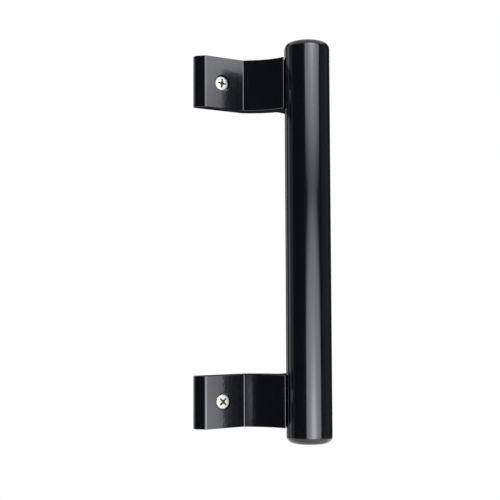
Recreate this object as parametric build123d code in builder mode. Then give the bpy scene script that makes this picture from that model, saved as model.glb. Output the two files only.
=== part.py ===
from build123d import *
import math
import os

# Sliding door pull handle: a round grip carried by two short lengths of one section.
# Millimetres. X runs across the door, Y into it and Z up.
# The origin is on the door face, midway between the two mounting screws.

# Bracket
hole_spacing = 168.3
bracket_height = 27.5
foot_thickness = 6.1
nose_x = -14.4
nose_wall = 2.2
nose_corner_radius = 1.2
nose_edge_x = -10.2
nose_edge_radius = 2.0
crease_x = 12.5
crease_angle = 38.5
crease_reach = 7.5
crease_radius = 0.7
horn_x = 27.3
horn_out = 23.9
horn_angle = 75.5
horn_reach = 9.3
horn_side_angle = -58.0
horn_radius = 0.4
heel_x = 15.4
heel_angle = 24.0
arm_back_angle = 58.0
elbow_radius = 2.5
cut_edge = 0.2

# Grip
grip_x = 39.9
grip_out = 26.9
grip_radius = 12.0
grip_length = 211.2
grip_end_radius = 3.45

# Seat that carries the grip, angles measured round the grip from its right-hand side
seat_wall = 5.4
seat_start = 250.0
seat_end = 318.0
elbow_angle = 238.0

# Screws, number 8 pan heads
screw_radius = 2.1
screw_clearance = 2.3
neck_radius = 1.8
neck_past_door = 0.4
grip_neck_length = 3.9
head_radius = 4.05
head_height = 2.5
head_edge = 0.8
counterbore_radius = 4.55
upper_counterbore_depth = 3.3
lower_counterbore_depth = 2.7
mounting_screw_length = 25.4
grip_screw_length = 15.9
grip_screw_flat_depth = 0.8
pilot_depth = 12.5
tip_length = 3.2
tip_radius = 0.4

# Cross recess in the screw heads
recess_length = 4.8
recess_width = 1.0
recess_depth = 1.6
upper_recess_turn = -6.0
lower_recess_turn = 45.0

upper_height = hole_spacing / 2
lower_height = -hole_spacing / 2
seat_back_out = grip_out - grip_radius - seat_wall
grip_screw_out = seat_back_out + grip_screw_flat_depth
upper_screw_out = foot_thickness - upper_counterbore_depth
lower_screw_out = foot_thickness - lower_counterbore_depth
upper_neck_length = upper_screw_out + neck_past_door
lower_neck_length = lower_screw_out + neck_past_door


def plan(x, out):
    """Point of the section at this distance across and this distance out from the door."""
    return (x, -out)


def heading(angle):
    """Direction in the section, turned from across the door towards the room."""
    turn = math.radians(angle)
    return (math.cos(turn), -math.sin(turn))


def step(point, distance, angle):
    """Point reached from another by going this far in this direction."""
    ahead = heading(angle)
    return (point[0] + distance * ahead[0], point[1] + distance * ahead[1])


def round_grip(radius, angle):
    """Point of the section at this radius and angle round the grip."""
    turn = math.radians(angle)
    return plan(grip_x + radius * math.cos(turn), grip_out + radius * math.sin(turn))


def relief_arc():
    """Ends of the arc that joins the horn's straight side to the seat, tangent to both."""
    ux, uy = heading(horn_side_angle)
    vx, vy = heading(seat_start + 90 - 360)
    sx, sy = round_grip(grip_radius, seat_start)
    hx, hy = plan(horn_x, horn_out)
    cross = ux * vy - uy * vx
    along = ((sx - hx) * vy - (sy - hy) * vx) / cross
    corner = (hx + ux * along, hy + uy * along)
    reach = math.dist(corner, (sx, sy))
    start = (corner[0] - ux * reach, corner[1] - uy * reach)
    return start, (sx, sy)


def section_outline():
    """Outline of the bracket section: foot, arm with its horn, and the seat for the grip."""
    relief_start, relief_end = relief_arc()
    outer_radius = grip_radius + seat_wall
    lip_inner = round_grip(grip_radius, seat_end)
    lip_outer = round_grip(outer_radius, seat_end)
    seat_middle = (seat_start + seat_end) / 2
    outer_middle = (elbow_angle + seat_end) / 2
    elbow = round_grip(outer_radius, elbow_angle)
    nose_corner = plan(nose_x, nose_wall)
    nose_edge = plan(nose_edge_x, foot_thickness)
    crease = plan(crease_x, foot_thickness)
    horn = plan(horn_x, horn_out)
    heel = plan(heel_x, 0)

    # Foot, with its bevelled nose
    Line(plan(nose_x, 0), nose_corner)
    Line(nose_corner, nose_edge)
    Line(nose_edge, crease)
    # Hollow front of the arm, from the crease to the tip of the horn
    arm_start = step(crease, crease_reach, crease_angle)
    arm_end = step(horn, -horn_reach, horn_angle)
    Bezier(crease, arm_start, arm_end, horn)
    # Inner side of the horn, clear of the grip, then the seat that fits it
    Line(horn, relief_start)
    TangentArc(relief_start, relief_end, tangent=heading(horn_side_angle))
    ThreePointArc(relief_end, round_grip(grip_radius, seat_middle), lip_inner)
    # Rounded lip and the outside of the seat
    TangentArc(lip_inner, lip_outer, tangent=heading(seat_end + 90 - 360))
    ThreePointArc(lip_outer, round_grip(outer_radius, outer_middle), elbow)
    # Back of the arm down to the door
    Spline(heel, elbow, tangents=[heading(heel_angle), heading(arm_back_angle)])
    Line(heel, plan(nose_x, 0))


def screw_plane(x, out, middle, towards_door):
    """Plane across a screw at this place, facing the side its head is on."""
    facing = (0, 1, 0) if towards_door else (0, -1, 0)
    return Plane(origin=(x, -out, middle), x_dir=(1, 0, 0), z_dir=facing)


def make_bracket(middle, counterbore_depth):
    """Length of the section, centred at this height, with both its screw holes."""
    with BuildPart() as bracket:
        with BuildSketch(Plane.XY.offset(middle - bracket_height / 2)) as section:
            with BuildLine():
                section_outline()
            make_face()
            elbow = round_grip(grip_radius + seat_wall, elbow_angle)
            fillet(section.vertices().sort_by_distance(elbow)[0], elbow_radius)
            nose_corner = plan(nose_x, nose_wall)
            fillet(section.vertices().sort_by_distance(nose_corner)[0], nose_corner_radius)
            nose_edge = plan(nose_edge_x, foot_thickness)
            fillet(section.vertices().sort_by_distance(nose_edge)[0], nose_edge_radius)
            crease = plan(crease_x, foot_thickness)
            fillet(section.vertices().sort_by_distance(crease)[0], crease_radius)
            horn = plan(horn_x, horn_out)
            fillet(section.vertices().sort_by_distance(horn)[0], horn_radius)
        extrude(amount=bracket_height)
        chamfer(bracket.faces().filter_by(Axis.Z).edges(), cut_edge)
        # Counterbored hole that hides the mounting screw's head in the foot
        with Locations(screw_plane(0, foot_thickness, middle, False)):
            CounterBoreHole(screw_clearance, counterbore_radius, counterbore_depth, foot_thickness)
        # Hole through the seat, with a flat for the head of the grip's screw
        with Locations(screw_plane(grip_x, seat_back_out, middle, True)):
            CounterBoreHole(screw_clearance, counterbore_radius, grip_screw_flat_depth, grip_radius)
    return bracket


def make_screw(seat, length, neck_length, turn):
    """Pan head screw with its head standing on this plane, the recess turned by this angle."""
    with BuildPart(seat) as screw:
        upright = (Align.CENTER, Align.CENTER, Align.MIN)
        hanging = (Align.CENTER, Align.CENTER, Align.MAX)
        Cylinder(head_radius, head_height, align=upright)
        head_top = screw.faces().sort_by(Axis(seat.origin, seat.z_dir))[-1]
        chamfer(head_top.edges(), head_edge)
        Cylinder(neck_radius, neck_length, align=hanging)
        with Locations((0, 0, -neck_length)):
            Cylinder(screw_radius, length - neck_length - tip_length, align=hanging)
        with Locations((0, 0, tip_length - length)):
            Cone(tip_radius, screw_radius, tip_length, align=hanging)
        with BuildSketch(seat.offset(head_height)):
            Rectangle(recess_length, recess_width, rotation=turn)
            Rectangle(recess_width, recess_length, rotation=turn)
        extrude(amount=-recess_depth, mode=Mode.SUBTRACT)
    return screw


# Grip: one solid bar with rounded ends and a pilot hole behind each bracket
with BuildPart() as grip:
    with Locations((grip_x, -grip_out, 0)):
        Cylinder(grip_radius, grip_length)
    fillet(grip.faces().filter_by(Axis.Z).edges(), grip_end_radius)
    for height in (lower_height, upper_height):
        with Locations(screw_plane(grip_x, grip_out - grip_radius, height, True)):
            Hole(screw_radius, pilot_depth)
grip.part.label = "grip"

# Brackets: two equal lengths of the section
upper_bracket = make_bracket(upper_height, upper_counterbore_depth)
upper_bracket.part.label = "upper_bracket"
lower_bracket = make_bracket(lower_height, lower_counterbore_depth)
lower_bracket.part.label = "lower_bracket"

# Screws that hold the brackets to the door
upper_mounting_screw = make_screw(
    screw_plane(0, upper_screw_out, upper_height, False),
    mounting_screw_length,
    upper_neck_length,
    upper_recess_turn,
)
upper_mounting_screw.part.label = "upper_mounting_screw"
lower_mounting_screw = make_screw(
    screw_plane(0, lower_screw_out, lower_height, False),
    mounting_screw_length,
    lower_neck_length,
    lower_recess_turn,
)
lower_mounting_screw.part.label = "lower_mounting_screw"

# Screws that hold the grip to the brackets, driven from the door side
upper_grip_screw = make_screw(
    screw_plane(grip_x, grip_screw_out, upper_height, True),
    grip_screw_length,
    grip_neck_length,
    lower_recess_turn,
)
upper_grip_screw.part.label = "upper_grip_screw"
lower_grip_screw = make_screw(
    screw_plane(grip_x, grip_screw_out, lower_height, True),
    grip_screw_length,
    grip_neck_length,
    upper_recess_turn,
)
lower_grip_screw.part.label = "lower_grip_screw"

os.makedirs("parts", exist_ok=True)
export_step(grip.part, "parts/grip.step")
export_step(upper_bracket.part, "parts/upper_bracket.step")
export_step(lower_bracket.part, "parts/lower_bracket.step")
export_step(upper_mounting_screw.part, "parts/upper_mounting_screw.step")
export_step(lower_mounting_screw.part, "parts/lower_mounting_screw.step")
export_step(upper_grip_screw.part, "parts/upper_grip_screw.step")
export_step(lower_grip_screw.part, "parts/lower_grip_screw.step")
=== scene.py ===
import math

import bmesh
import bpy
from mathutils import Matrix, Vector


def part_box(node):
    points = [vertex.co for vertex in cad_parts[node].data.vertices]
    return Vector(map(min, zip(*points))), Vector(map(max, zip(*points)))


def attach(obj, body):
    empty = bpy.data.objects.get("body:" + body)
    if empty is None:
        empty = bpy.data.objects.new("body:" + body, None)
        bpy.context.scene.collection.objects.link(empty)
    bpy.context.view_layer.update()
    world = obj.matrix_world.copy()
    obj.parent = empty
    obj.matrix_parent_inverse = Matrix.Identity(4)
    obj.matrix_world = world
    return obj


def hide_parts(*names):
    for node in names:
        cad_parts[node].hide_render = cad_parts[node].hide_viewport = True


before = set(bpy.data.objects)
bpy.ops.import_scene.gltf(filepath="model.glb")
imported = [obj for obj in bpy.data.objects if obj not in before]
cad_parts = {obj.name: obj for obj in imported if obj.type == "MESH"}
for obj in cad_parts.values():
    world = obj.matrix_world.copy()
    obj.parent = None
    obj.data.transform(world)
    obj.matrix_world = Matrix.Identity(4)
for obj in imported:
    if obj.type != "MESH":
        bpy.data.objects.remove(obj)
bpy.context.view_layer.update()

# Sliding door handle: a gloss black bar on two enamelled brackets, held by bright screws.
# Metres. X runs across the door, Y into it and Z up the bar.

MM = 0.001

# Screws, number 8 pan heads, in millimetres
HEAD_RADIUS = 4.05
HEAD_HEIGHT = 2.5
NECK_RADIUS = 1.75
NECK_LENGTH = 3.9
ROOT_RADIUS = 1.5
POINT_LENGTH = 3.6
POINT_RADIUS = 0.12
STEPS_AROUND = 72

# Their threads, in millimetres
CREST_RADIUS = 2.08
CREST_HALF_WIDTH = 0.09
THREAD_PITCH = 1.7
THREAD_BURIED = 0.25
STEPS_PER_TURN = 30

# The punch for the cross recess in each head, in millimetres
RECESS_LENGTH = 4.8
RECESS_WIDTH = 1.0
RECESS_DEPTH = 2.1
PUNCH_PROUD = 0.6

# Its wings taper: their size at the foot and at the mouth, and their depth, as shares of the above
WING_FOOT = 0.6
WING_MOUTH = 1.14
WING_DEPTH = 0.8

# How far the recesses are turned, and the turn above which an edge is shaded sharp, in degrees
UPRIGHT_CROSS = -6
SLANTED_CROSS = 45
SHARP_EDGE = 32

# Bearing of the soft boxes in degrees, and their brightest radiance
LAMP_BEARING = -11
LAMP_PEAK = 5.0

# How far off the lamps stand, and their sizes, in metres
CLOTH_REACH = 1.0
BULB_REACH = 1.02
GLOW_REACH = 0.8
STRIP_HEIGHT = 1.2
OVERHEAD_HEIGHT = 1.15
OVERHEAD_WIDTH = 2.6

# Radiance of the room in a reflection, and what its walls add for a matt surface
DARK_ROOM = 0.02
WALL_LIGHT = 0.36

# Floor, in metres
FLOOR_MIDDLE = Vector((0.02, 0, -0.33))
FLOOR_RADIUS = 0.85

# A colour Mix node's two colours and its result, which share their names with its other sockets
COLOUR_A = 6
COLOUR_B = 7
MIXED = 2


def linear(hex_colour):
    """Linear colour, with alpha, of an sRGB hex value."""
    parts = [int(hex_colour[i:i + 2], 16) / 255 for i in (1, 3, 5)]
    levels = [c / 12.92 if c <= 0.04045 else ((c + 0.055) / 1.055) ** 2.4 for c in parts]
    return (*levels, 1.0)


def across(size):
    """Texture scale at which a pattern repeats about every so many millimetres."""
    return 1 / (size * MM)


def set_up(tree, node, settings, links=()):
    """Gives a node its settings, and links other nodes' outputs to its inputs, by name or number."""
    for name, value in settings.items():
        if isinstance(name, int) or name in node.inputs:
            node.inputs[name].default_value = value
        else:
            setattr(node, name, value)
    for name, output in links:
        tree.links.new(output, node.inputs[name])


def add_node(tree, kind, settings, links=()):
    """New node with these settings, and links from other nodes' outputs to its inputs."""
    node = tree.nodes.new(kind)
    set_up(tree, node, settings, links)
    return node


def new_finish(name):
    """Empty material with its surface shader, and the object's own coordinates in metres."""
    finish = bpy.data.materials.new(name)
    finish.use_nodes = True
    tree = finish.node_tree
    place = add_node(tree, "ShaderNodeTexCoord", {})
    return finish, tree, tree.nodes["Principled BSDF"], place.outputs["Object"]


def moulded_black():
    """Gloss black ABS, injection moulded: deep black under a clear skin that wavers a little."""
    finish, tree, surface, place = new_finish("gloss black moulded ABS")
    # Flow streaks 3 mm across and 60 mm long run up the bar and make its gloss uneven
    flow = add_node(tree, "ShaderNodeMapping", {"Scale": (1, 1, 0.05)}, [("Vector", place)])
    streaks = add_node(
        tree, "ShaderNodeTexNoise", {"Scale": across(3), "Detail": 3.0},
        [("Vector", flow.outputs["Vector"])]
    )
    skin = add_node(
        tree, "ShaderNodeMapRange", {"From Min": 0.3, "From Max": 0.7, "To Min": 0.06, "To Max": 0.09},
        [("Value", streaks.outputs["Fac"])]
    )
    # Dulled patches 14 mm across, where hands have rubbed the plastic
    rubbed = add_node(
        tree, "ShaderNodeTexNoise", {"Scale": across(14), "Detail": 5.0}, [("Vector", place)]
    )
    body = add_node(
        tree, "ShaderNodeMapRange", {"From Min": 0.35, "From Max": 0.7, "To Min": 0.13, "To Max": 0.17},
        [("Value", rubbed.outputs["Fac"])]
    )
    # Black with a little blue, a shade lighter in the streaks
    shade = add_node(
        tree, "ShaderNodeMix",
        {"data_type": "RGBA", COLOUR_A: linear("#06080B"), COLOUR_B: linear("#0A0C10")},
        [("Factor", streaks.outputs["Fac"])]
    )
    # Ripple of the skin, 2 mm across and two hundredths of a millimetre deep
    ripple = add_node(
        tree, "ShaderNodeTexNoise", {"Scale": across(2), "Detail": 2.0},
        [("Vector", flow.outputs["Vector"])]
    )
    relief = add_node(
        tree, "ShaderNodeBump", {"Strength": 0.25, "Distance": 0.02 * MM},
        [("Height", ripple.outputs["Fac"])]
    )
    # The blue dye in the black tints what it reflects. The coat roughness that is set here is the
    # mean of the skin's pattern, for an export that keeps only one
    set_up(
        tree, surface,
        {"Specular Tint": linear("#ECEFFF"), "IOR": 1.53, "Coat Weight": 1.0, "Coat Roughness": 0.075},
        [
            ("Base Color", shade.outputs[MIXED]), ("Roughness", body.outputs["Result"]),
            ("Coat Roughness", skin.outputs["Result"]), ("Normal", relief.outputs["Normal"]),
            ("Coat Normal", relief.outputs["Normal"]),
        ]
    )
    return finish


def baked_enamel():
    """Gloss black enamel, baked on extruded aluminium: a hard, wet gloss with a fine orange peel."""
    finish, tree, surface, place = new_finish("gloss black baked enamel")
    # Orange peel 1.6 mm across, which makes the edge of a reflection tremble
    peel = add_node(
        tree, "ShaderNodeTexNoise", {"Scale": across(1.6), "Detail": 1.5}, [("Vector", place)]
    )
    # Lines left by the extrusion die, 0.8 mm apart and as long as the bracket
    drawn = add_node(tree, "ShaderNodeMapping", {"Scale": (1, 1, 0.01)}, [("Vector", place)])
    lines = add_node(
        tree, "ShaderNodeTexNoise", {"Scale": across(0.8), "Detail": 2.0},
        [("Vector", drawn.outputs["Vector"])]
    )
    # The lines are shallow: 0.15 of the depth of the peel
    height = add_node(
        tree, "ShaderNodeMath", {"operation": "MULTIPLY_ADD", 1: 0.15},
        [(0, lines.outputs["Fac"]), (2, peel.outputs["Fac"])]
    )
    relief = add_node(
        tree, "ShaderNodeBump", {"Strength": 0.3, "Distance": 0.008 * MM},
        [("Height", height.outputs["Value"])]
    )
    # Gloss that changes over 8 mm, as the enamel lay thicker or thinner
    cover = add_node(tree, "ShaderNodeTexNoise", {"Scale": across(8), "Detail": 4.0}, [("Vector", place)])
    skin = add_node(
        tree, "ShaderNodeMapRange", {"From Min": 0.3, "From Max": 0.7, "To Min": 0.03, "To Max": 0.045},
        [("Value", cover.outputs["Fac"])]
    )
    body = add_node(
        tree, "ShaderNodeMapRange", {"From Min": 0.3, "From Max": 0.7, "To Min": 0.06, "To Max": 0.09},
        [("Value", lines.outputs["Fac"])]
    )
    # Black with a little blue, a shade lighter where the enamel is thin
    shade = add_node(
        tree, "ShaderNodeMix",
        {"data_type": "RGBA", COLOUR_A: linear("#06080B"), COLOUR_B: linear("#0A0C10")},
        [("Factor", cover.outputs["Fac"])]
    )
    # The coat roughness that is set here is the mean of the skin's pattern, as on the bar
    set_up(
        tree, surface,
        {
            "Specular Tint": linear("#ECEFFF"), "IOR": 1.57,
            "Coat Weight": 1.0, "Coat IOR": 1.57, "Coat Roughness": 0.0375,
        },
        [
            ("Base Color", shade.outputs[MIXED]), ("Roughness", body.outputs["Result"]),
            ("Coat Roughness", skin.outputs["Result"]), ("Normal", relief.outputs["Normal"]),
            ("Coat Normal", relief.outputs["Normal"]),
        ]
    )
    return finish


def satin_nickel():
    """Nickel plate on steel, tumbled to a satin: nearly white, with faint spots of tarnish."""
    finish, tree, surface, place = new_finish("satin nickel plate")
    # Tarnish in spots 1 mm across
    spots = add_node(tree, "ShaderNodeTexNoise", {"Scale": across(1), "Detail": 4.0}, [("Vector", place)])
    spread = add_node(
        tree, "ShaderNodeMapRange", {"From Min": 0.5, "From Max": 0.8}, [("Value", spots.outputs["Fac"])]
    )
    shade = add_node(
        tree, "ShaderNodeMix",
        {"data_type": "RGBA", COLOUR_A: linear("#F6F5F1"), COLOUR_B: linear("#CFC9BE")},
        [("Factor", spread.outputs["Result"])]
    )
    gloss = add_node(
        tree, "ShaderNodeMapRange", {"From Min": 0.3, "From Max": 0.7, "To Min": 0.46, "To Max": 0.58},
        [("Value", spots.outputs["Fac"])]
    )
    # Dents from tumbling, 0.5 mm across: real ones are finer
    dents = add_node(
        tree, "ShaderNodeTexVoronoi", {"Scale": across(0.5), "feature": "SMOOTH_F1"}, [("Vector", place)]
    )
    relief = add_node(
        tree, "ShaderNodeBump", {"Strength": 0.3, "Distance": 0.02 * MM},
        [("Height", dents.outputs["Distance"])]
    )
    set_up(
        tree, surface, {"Metallic": 1.0},
        [
            ("Base Color", shade.outputs[MIXED]), ("Roughness", gloss.outputs["Result"]),
            ("Normal", relief.outputs["Normal"]),
        ]
    )
    return finish


def shaded_recess_steel():
    """Punched steel in the cross recess, painted dark as the shade that falls in the recess."""
    finish, tree, surface, place = new_finish("punched steel darkened as painted recess shade")
    # Blots 0.7 mm across, where the painted recess shade is lighter or darker
    blots = add_node(
        tree, "ShaderNodeTexNoise", {"Scale": across(0.7), "Detail": 3.0}, [("Vector", place)]
    )
    # Mid grey to dark grey, well below the nickel: painted shade on the recess walls
    shade = add_node(
        tree, "ShaderNodeMix",
        {"data_type": "RGBA", COLOUR_A: linear("#A8A49C"), COLOUR_B: linear("#5E5A54")},
        [("Factor", blots.outputs["Fac"])]
    )
    gloss = add_node(
        tree, "ShaderNodeMapRange", {"From Min": 0.3, "From Max": 0.7, "To Min": 0.45, "To Max": 0.65},
        [("Value", blots.outputs["Fac"])]
    )
    relief = add_node(
        tree, "ShaderNodeBump", {"Strength": 0.2, "Distance": 0.03 * MM},
        [("Height", blots.outputs["Fac"])]
    )
    set_up(
        tree, surface, {"Metallic": 1.0},
        [
            ("Base Color", shade.outputs[MIXED]), ("Roughness", gloss.outputs["Result"]),
            ("Normal", relief.outputs["Normal"]),
        ]
    )
    return finish


def to_piece(bm, name, finishes):
    """Object made from a bmesh, at the origin, with these finishes."""
    mesh = bpy.data.meshes.new(name)
    bm.to_mesh(mesh)
    bm.free()
    for finish in finishes:
        mesh.materials.append(finish)
    piece = bpy.data.objects.new(name, mesh)
    bpy.context.scene.collection.objects.link(piece)
    return piece


def pan_head_and_core(length):
    """Pan head, plain neck and core of a screw in millimetres: top of the head at 0, point last."""
    under = -HEAD_HEIGHT
    neck_end = under - NECK_LENGTH
    tip = under - length
    crown = [
        (0, 0), (1.0, -0.002), (2.0, -0.02), (2.8, -0.07), (3.25, -0.15), (3.6, -0.32), (3.85, -0.6),
        (4.0, -1.0), (HEAD_RADIUS, -1.5),
    ]
    rim = [
        (HEAD_RADIUS, under + 0.14), (HEAD_RADIUS - 0.04, under + 0.04), (HEAD_RADIUS - 0.14, under),
    ]
    shank = [
        (NECK_RADIUS, under), (NECK_RADIUS, neck_end + 0.2), (ROOT_RADIUS, neck_end),
        (ROOT_RADIUS, tip + POINT_LENGTH), (ROOT_RADIUS * 0.5, tip + POINT_LENGTH * 0.45),
        (POINT_RADIUS, tip + 0.06), (0, tip),
    ]
    body = bmesh.new()
    corners = [body.verts.new((radius, 0, height)) for radius, height in crown + rim + shank]
    edges = [body.edges.new(pair) for pair in zip(corners, corners[1:])]
    bmesh.ops.spin(
        body, geom=corners + edges, cent=(0, 0, 0), axis=(0, 0, 1), angle=math.tau,
        steps=STEPS_AROUND, use_merge=True
    )
    bmesh.ops.remove_doubles(body, verts=body.verts, dist=0.001)
    bmesh.ops.recalc_face_normals(body, faces=body.faces)
    return body


def thread_ridge(length):
    """V-shaped ridge wound down the core: it grows in below the neck and runs out at the point."""
    tip = -HEAD_HEIGHT - length
    half = THREAD_PITCH * 0.3
    top = -HEAD_HEIGHT - NECK_LENGTH - 0.1 - half
    bottom = tip + THREAD_PITCH * 0.6
    buried = ROOT_RADIUS - THREAD_BURIED
    section = [
        (buried, half), (CREST_RADIUS, CREST_HALF_WIDTH), (CREST_RADIUS, -CREST_HALF_WIDTH),
        (buried, -half),
    ]
    ridge = bmesh.new()
    first = ridge.faces.new([ridge.verts.new((radius, 0, top + rise)) for radius, rise in section])
    turns = (top - bottom) / THREAD_PITCH
    steps = int(turns * STEPS_PER_TURN)
    bmesh.ops.spin(
        ridge, geom=[first], cent=(0, 0, 0), axis=(0, 0, 1), dvec=(0, 0, (bottom - top) / steps),
        angle=-math.tau * turns, steps=steps
    )
    bmesh.ops.recalc_face_normals(ridge, faces=ridge.faces)
    for corner in ridge.verts:
        radius = math.hypot(corner.co.x, corner.co.y)
        grown = min(1.0, (top + half - corner.co.z) / THREAD_PITCH)
        if radius > ROOT_RADIUS:
            corner.co.xy *= (ROOT_RADIUS + (radius - ROOT_RADIUS) * grown) / radius
        corner.co.xy *= min(1.0, max(0.1, (corner.co.z - tip) / POINT_LENGTH))
    return ridge


def recess_punch():
    """Tapered cross with a pointed middle, the shape that the driver's recess is punched with."""
    punch = bmesh.new()
    for long_x, long_y in ((RECESS_LENGTH, RECESS_WIDTH), (RECESS_WIDTH, RECESS_LENGTH)):
        wing = bmesh.ops.create_cube(punch, size=1)["verts"]
        for corner in wing:
            low = corner.co.z < 0
            taper = WING_FOOT if low else WING_MOUTH
            corner.co.x *= long_x * taper
            corner.co.y *= long_y * taper
            corner.co.z = -RECESS_DEPTH * WING_DEPTH if low else PUNCH_PROUD
    bmesh.ops.create_cone(
        punch, cap_ends=True, segments=24, radius1=0.35, radius2=1.2, depth=RECESS_DEPTH + PUNCH_PROUD,
        matrix=Matrix.Translation((0, 0, (PUNCH_PROUD - RECESS_DEPTH) / 2))
    )
    bmesh.ops.recalc_face_normals(punch, faces=punch.faces)
    return punch


def cut_recess(screw, punch):
    """Mesh of the screw with the punch's shape, and its finish, cut into the head."""
    cut = screw.modifiers.new("recess", "BOOLEAN")
    cut.operation = "DIFFERENCE"
    cut.solver = "EXACT"
    cut.use_self = True
    cut.material_mode = "TRANSFER"
    cut.object = punch
    bpy.context.view_layer.update()
    finished = screw.evaluated_get(bpy.context.evaluated_depsgraph_get())
    cut_mesh = bpy.data.meshes.new_from_object(finished)
    screw.modifiers.clear()
    bpy.data.objects.remove(punch)
    return cut_mesh


def make_screw(name, node, turn, towards_door, finishes):
    """Screw in place of its plain solid, its head on the side given, its recess turned in degrees."""
    low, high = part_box(node)
    length = (high.y - low.y) / MM - HEAD_HEIGHT
    screw = to_piece(pan_head_and_core(length), name, finishes)
    # The punch carries the darkened steel, which is painted shade, onto the walls of the recess
    punch = to_piece(recess_punch(), name + "_punch", finishes[1:])
    punch.data.transform(Matrix.Rotation(math.radians(turn), 4, "Z"))
    cut_mesh = cut_recess(screw, punch)
    # The thread is wound on after the cut, so that the cut meets one plain closed body
    ridge_mesh = bpy.data.meshes.new(name + "_thread")
    ridge = thread_ridge(length)
    ridge.to_mesh(ridge_mesh)
    ridge.free()
    whole = bmesh.new()
    for part in (cut_mesh, ridge_mesh):
        whole.from_mesh(part)
        bpy.data.meshes.remove(part)
    sideways = Vector((1, 0, 0))
    head_way = Vector((0, 1 if towards_door else -1, 0))
    turned = Matrix((sideways, head_way.cross(sideways), head_way)).transposed().to_4x4()
    head_out = high.y if towards_door else low.y
    head_top = Vector(((low.x + high.x) / 2, head_out, (low.z + high.z) / 2))
    whole.transform(Matrix.Translation(head_top) @ turned @ Matrix.Scale(MM, 4))
    whole.to_mesh(screw.data)
    whole.free()
    screw.data.shade_smooth()
    screw.data.set_sharp_from_angle(angle=math.radians(SHARP_EDGE))
    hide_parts(node)
    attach(screw, "root")


def dress_node(node, finish):
    """Gives a solid its finish."""
    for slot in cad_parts[node].material_slots:
        slot.material = finish


def lamp_panel(name, width, height, level):
    """Rectangular lamp of this radiance, at the origin and facing down."""
    lamp = bpy.data.lights.new(name, "AREA")
    lamp.shape = "RECTANGLE"
    lamp.size = width
    lamp.size_y = height
    lamp.energy = level * math.pi * width * height
    panel = bpy.data.objects.new(name, lamp)
    bpy.context.scene.collection.objects.link(panel)
    return panel


def soft_box(name, reach, wide, tall, middle, spread, ramp):
    """Lamp this far in front that spans these places on its plane, its hot middle fading outwards.
    All in metres, measured across and up from the handle's own middle."""
    left, right = wide
    low, high = tall
    width = right - left
    height = high - low
    panel = lamp_panel(name, width, height, LAMP_PEAK)
    panel.data.use_nodes = True
    tree = panel.data.node_tree
    place = add_node(tree, "ShaderNodeNewGeometry", {})
    offset = add_node(
        tree, "ShaderNodeVectorMath",
        {"operation": "SUBTRACT", 1: ((middle[0] - left) / width, (middle[1] - low) / height, 0)},
        [(0, place.outputs["Parametric"])]
    )
    scaled = add_node(
        tree, "ShaderNodeVectorMath",
        {"operation": "MULTIPLY", 1: (width / spread[0], height / spread[1], 0)},
        [(0, offset.outputs["Vector"])]
    )
    away = add_node(tree, "ShaderNodeVectorMath", {"operation": "LENGTH"}, [(0, scaled.outputs["Vector"])])
    fade = add_node(tree, "ShaderNodeValToRGB", {}, [("Fac", away.outputs["Value"])])
    stops = fade.color_ramp.elements
    while len(stops) < len(ramp):
        stops.new(0.5)
    for stop, (where, level) in zip(stops, ramp):
        stop.position = where
        stop.color = (level, level, level, 1)
    tree.links.new(fade.outputs["Color"], tree.nodes["Emission"].inputs["Strength"])
    bearing = math.radians(LAMP_BEARING)
    ahead = Vector((math.sin(bearing), -math.cos(bearing), 0))
    side = Vector((math.cos(bearing), math.sin(bearing), 0))
    panel.location = ahead * reach + side * (left + right) / 2 + Vector((0, 0, (low + high) / 2))
    panel.rotation_euler = (-ahead).to_track_quat("-Z", "Y").to_euler()


def strip(name, bearing, width, level, middle=0.10):
    """Dim upright panel a metre off, at a bearing in degrees from straight ahead, facing the handle."""
    panel = lamp_panel(name, width, STRIP_HEIGHT, level)
    turn = math.radians(bearing)
    panel.location = (math.sin(turn), -math.cos(turn), middle)
    panel.rotation_euler = (-panel.location).to_track_quat("-Z", "Y").to_euler()


def light_studio():
    """Two big cloths in front with bulbs behind them, dim strips around and a panel overhead."""
    cloth = [
        (0, 0.5), (0.41, 0.47), (0.54, 0.44), (0.74, 0.38), (0.82, 0.28), (0.877, 0.19),
        (0.927, 0.13), (0.985, 0.1), (1.0, 0),
    ]
    upper = {"middle": (0.10, 0.60), "spread": (1.12, 0.479), "ramp": cloth}
    soft_box("upper cloth", CLOTH_REACH, (-0.59, 0.815), (0.156, 1.10), **upper)
    soft_box("corner of the cloth", CLOTH_REACH, (0.815, 0.885), (0.416, 0.60), **upper)
    soft_box(
        "lower cloth", CLOTH_REACH, (-0.665, 0.815), (-0.32, 0.156),
        middle=(0.05, -0.30), spread=(0.97, 0.49), ramp=cloth
    )
    # The bulbs are hot spots. They stand behind, as lamps in one plane hide each other in reflections
    bulb = [(0, 0.6), (0.5, 0.5), (0.66, 0.2), (0.85, 0.06), (1.0, 0)]
    soft_box(
        "upper bulb", BULB_REACH, (-0.40, 0.55), (0.20, 1.00),
        middle=(0.08, 0.60), spread=(0.45, 0.4), ramp=bulb
    )
    soft_box(
        "lower bulb", BULB_REACH, (-0.45, 0.50), (-0.32, 0.04),
        middle=(0.04, -0.36), spread=(0.42, 0.36), ramp=bulb
    )
    # Soft light on the lower arm, beside its crease
    glow = [(0, 0.25), (0.17, 0.13), (0.24, 0.05), (0.36, 0.012), (0.86, 0.002), (1.0, 0)]
    soft_box(
        "low left glow", GLOW_REACH, (-0.58, -0.53), (-0.30, -0.05),
        middle=(-0.53, -0.17), spread=(0.05, 2.0), ramp=glow
    )
    strip("left strip", bearing=-145.5, width=0.3, level=0.42)
    strip("dim left strip", bearing=-126, width=0.4, level=0.13)
    strip("right strip", bearing=65, width=0.9, level=0.07)
    strip("back strip", bearing=184, width=0.26, level=0.5, middle=0.0)
    overhead = lamp_panel("overhead panel", OVERHEAD_WIDTH, OVERHEAD_WIDTH, 0.62)
    overhead.location = (FLOOR_MIDDLE.x, 0, OVERHEAD_HEIGHT)


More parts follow.
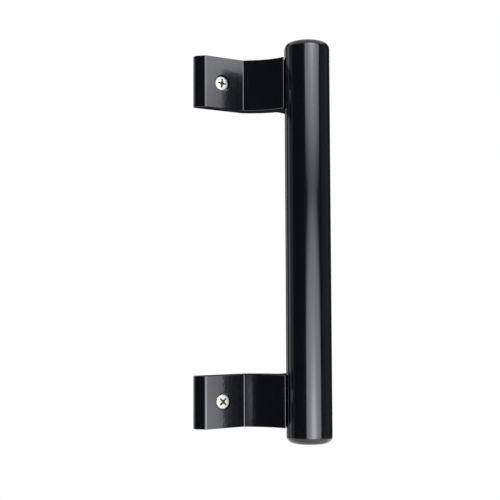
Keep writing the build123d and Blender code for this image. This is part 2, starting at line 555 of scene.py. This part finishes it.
def paint_room():
    """Room around it: white to the camera, dark to what is glossy, and pale walls to what is matt."""
    world = bpy.data.worlds.new("dark room")
    bpy.context.scene.world = world
    world.use_nodes = True
    tree = world.node_tree
    seen = add_node(tree, "ShaderNodeLightPath", {})
    level = add_node(
        tree, "ShaderNodeMapRange", {"To Min": DARK_ROOM, "To Max": 1.0},
        [("Value", seen.outputs["Is Camera Ray"])]
    )
    walls = add_node(
        tree, "ShaderNodeMath", {"operation": "MULTIPLY_ADD", 1: WALL_LIGHT},
        [(0, seen.outputs["Is Diffuse Ray"]), (2, level.outputs["Result"])]
    )
    set_up(tree, tree.nodes["Background"], {"Color": (1, 1, 1, 1)}, [("Strength", walls.outputs["Value"])])


def lay_floor():
    """Round pale floor below the handle, that fades into the white around it."""
    bm = bmesh.new()
    bmesh.ops.create_circle(bm, cap_ends=True, segments=96, radius=FLOOR_RADIUS)
    bmesh.ops.translate(bm, vec=FLOOR_MIDDLE, verts=bm.verts)
    finish, tree, surface, place = new_finish("matt pale floor paint")
    set_up(tree, surface, {"Base Color": linear("#FAF9F7"), "Roughness": 0.8})
    floor = to_piece(bm, "floor", [finish])
    centred = add_node(tree, "ShaderNodeMapping", {"Location": -FLOOR_MIDDLE}, [("Vector", place)])
    away = add_node(
        tree, "ShaderNodeVectorMath", {"operation": "LENGTH"}, [(0, centred.outputs["Vector"])]
    )
    edge = add_node(
        tree, "ShaderNodeMapRange", {"From Min": 0.3, "From Max": 0.8, "interpolation_type": "SMOOTHSTEP"},
        [("Value", away.outputs["Value"])]
    )
    seen = add_node(tree, "ShaderNodeLightPath", {})
    share = add_node(
        tree, "ShaderNodeMath", {"operation": "MULTIPLY"},
        [(0, edge.outputs["Result"]), (1, seen.outputs["Is Camera Ray"])]
    )
    white = add_node(tree, "ShaderNodeEmission", {"Strength": 1.0})
    mix = add_node(
        tree, "ShaderNodeMixShader", {},
        [(0, share.outputs["Value"]), (1, surface.outputs["BSDF"]), (2, white.outputs["Emission"])]
    )
    tree.links.new(mix.outputs["Shader"], tree.nodes["Material Output"].inputs["Surface"])


def set_camera():
    """Camera half a metre away, to the left of the handle and a little below its middle."""
    camera = bpy.data.objects.new("camera", bpy.data.cameras.new("camera"))
    bpy.context.scene.collection.objects.link(camera)
    bpy.context.scene.camera = camera
    camera.data.lens = 67.8
    camera.data.clip_start = 0.01
    camera.location = (-0.2347, -0.4420, -0.0338)
    camera.rotation_euler = [math.radians(turn) for turn in (93.344, 0.21, -29.93)]


dress_node("grip", moulded_black())
enamel = baked_enamel()
dress_node("upper_bracket", enamel)
dress_node("lower_bracket", enamel)
# The second finish is painted shade for the cross recesses
screw_finishes = [satin_nickel(), shaded_recess_steel()]
make_screw("upper_foot_screw", "upper_mounting_screw", UPRIGHT_CROSS, False, screw_finishes)
make_screw("lower_foot_screw", "lower_mounting_screw", SLANTED_CROSS, False, screw_finishes)
make_screw("upper_seat_screw", "upper_grip_screw", SLANTED_CROSS, True, screw_finishes)
make_screw("lower_seat_screw", "lower_grip_screw", UPRIGHT_CROSS, True, screw_finishes)
lay_floor()
light_studio()
paint_room()
set_camera()
bpy.context.scene.view_settings.view_transform = "Standard"
